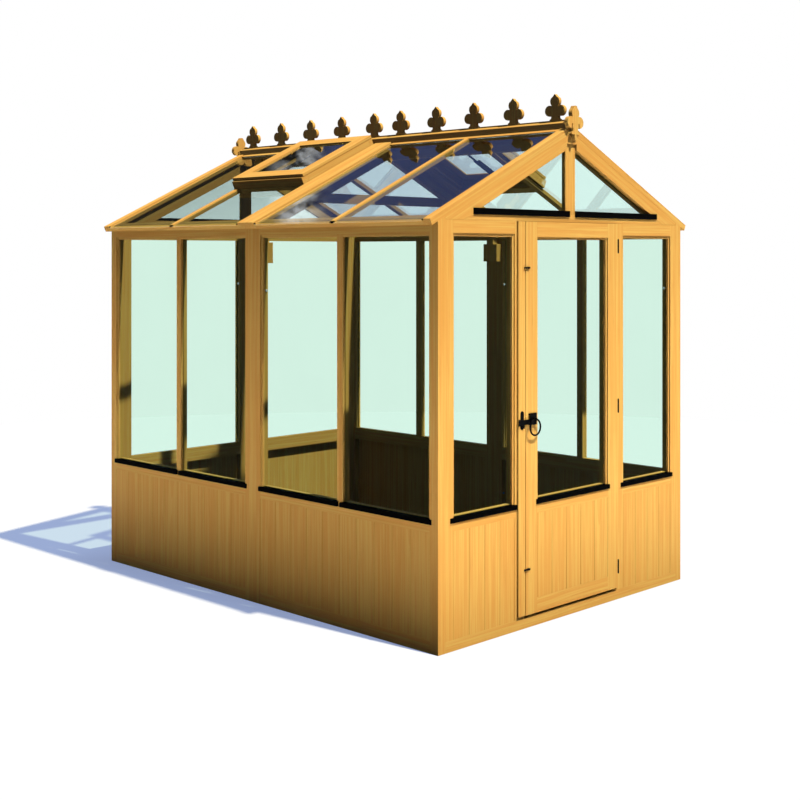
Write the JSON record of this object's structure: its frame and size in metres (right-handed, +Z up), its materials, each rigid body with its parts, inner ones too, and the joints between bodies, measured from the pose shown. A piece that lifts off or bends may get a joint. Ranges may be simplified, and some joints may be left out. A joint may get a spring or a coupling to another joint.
{
  "type": "greenhouse",
  "caption": "Small timber greenhouse with boarded base, glazed gable roof with cresting and finials, ridge vents on stays and a glazed door with a ring latch.",
  "frame": {"origin": "on the ground at the middle of the building's plan", "axes": "+Z up, +Y along the ridge away from the door, +X across the gable"},
  "size_m": [1.9304, 2.51, 2.428],
  "materials": {
    "oiled_softwood": "golden stained softwood, satin",
    "shaded_softwood": "golden stained softwood, satin, seen from inside",
    "clear_pane": "clear toughened glass with a faint green tint",
    "roof_pane": "clear toughened glass",
    "black_iron": "black powder coat, satin",
    "black_seal": "black strip, matte",
    "steel": "zinc plated steel"
  },
  "bodies": {
    "house": {"left_front_frame": "oiled_softwood", "left_rear_frame": "oiled_softwood", "right_front_frame": "oiled_softwood", "right_rear_frame": "oiled_softwood", "front_wall_frame": "oiled_softwood", "rear_wall_frame": "shaded_softwood", "front_gable_frame": "oiled_softwood", "rear_gable_frame": "shaded_softwood", "slam_strip": "oiled_softwood", "left_boards": "oiled_softwood", "right_boards": "oiled_softwood", "front_boards": "oiled_softwood", "rear_boards": "shaded_softwood", "left_glass": "clear_pane", "right_glass": "clear_pane", "front_glass": "clear_pane", "rear_glass": "clear_pane", "wall_sills": "black_seal", "wall_beads": "oiled_softwood", "roof_left_front_frame": "oiled_softwood", "roof_left_rear_frame": "oiled_softwood", "roof_right_front_frame": "oiled_softwood", "roof_right_rear_frame": "oiled_softwood", "roof_left_glass": "roof_pane", "roof_right_glass": "roof_pane", "roof_cappings": "oiled_softwood", "glass_clips": "black_seal", "ridge_beam": "shaded_softwood", "ridge_cap": "oiled_softwood", "front_crest": "oiled_softwood", "rear_crest": "oiled_softwood", "front_finial": "oiled_softwood", "rear_finial": "oiled_softwood", "truss_rafters": "shaded_softwood", "collar_tie": "shaded_softwood", "heel_blocks": "shaded_softwood", "vent_curbs": "oiled_softwood", "stay_pegs": "black_iron", "vent_hinges_fixed": "black_iron", "frame_hinge_leaves": "black_iron", "latch_keep": "black_iron", "panel_bolts": "steel"},
    "door": {"door_frame": "oiled_softwood", "door_boards": "oiled_softwood", "door_glass": "clear_pane", "door_sill": "black_seal", "door_hinge_leaves": "black_iron", "latch_plate": "black_iron"},
    "latch": {"latch_bar": "black_iron"},
    "ring": {"latch_ring": "black_iron"},
    "upper_turn": {"upper_button": "black_iron"},
    "lower_turn": {"lower_button": "black_iron"},
    "left_vent": {"left_vent_lid": "oiled_softwood", "left_vent_glass": "roof_pane", "left_vent_hinges": "black_iron"},
    "left_stay": {"left_vent_stay": "black_iron"},
    "right_vent": {"right_vent_lid": "oiled_softwood", "right_vent_glass": "roof_pane", "right_vent_hinges": "black_iron"},
    "right_stay": {"right_vent_stay": "black_iron"}
  },
  "joints": [
    {"name": "door_hinge", "type": "hinge", "parent": "house", "child": "door", "pos_m": [0.351, -1.2322, 0.941], "axis": [0, 0, 1], "range_deg": [0, 110]},
    {"name": "latch_turn", "type": "hinge", "parent": "door", "child": "latch", "pos_m": [-0.307, -1.2322, 0.936], "axis": [0, 1, 0], "range_deg": [0, 15]},
    {"name": "ring_lift", "type": "hinge", "parent": "latch", "child": "ring", "pos_m": [-0.307, -1.2483, 0.936], "axis": [-1, 0, 0], "range_deg": [0, 85]},
    {"name": "upper_button_turn", "type": "hinge", "parent": "door", "child": "upper_turn", "pos_m": [-0.336, -1.234, 1.614], "axis": [0, 1, 0], "range_deg": [0, 90]},
    {"name": "lower_button_turn", "type": "hinge", "parent": "door", "child": "lower_turn", "pos_m": [-0.336, -1.234, 0.266], "axis": [0, 1, 0], "range_deg": [0, 90]},
    {"name": "left_vent_hinge", "type": "hinge", "parent": "house", "child": "left_vent", "pos_m": [-0.04259, 0.3585, 2.29459], "axis": [0, 1, 0], "range_deg": [0, 40]},
    {"name": "left_stay_pivot", "type": "hinge", "parent": "left_vent", "child": "left_stay", "pos_m": [-0.44546, 0.3585, 2.09854], "axis": [0, 1, 0], "range_deg": [0, 80]},
    {"name": "right_vent_hinge", "type": "hinge", "parent": "house", "child": "right_vent", "pos_m": [0.04259, -0.3585, 2.29459], "axis": [0, -1, 0], "range_deg": [0, 40]},
    {"name": "right_stay_pivot", "type": "hinge", "parent": "right_vent", "child": "right_stay", "pos_m": [0.44546, -0.3585, 2.09854], "axis": [0, -1, 0], "range_deg": [0, 80]}
  ]
}
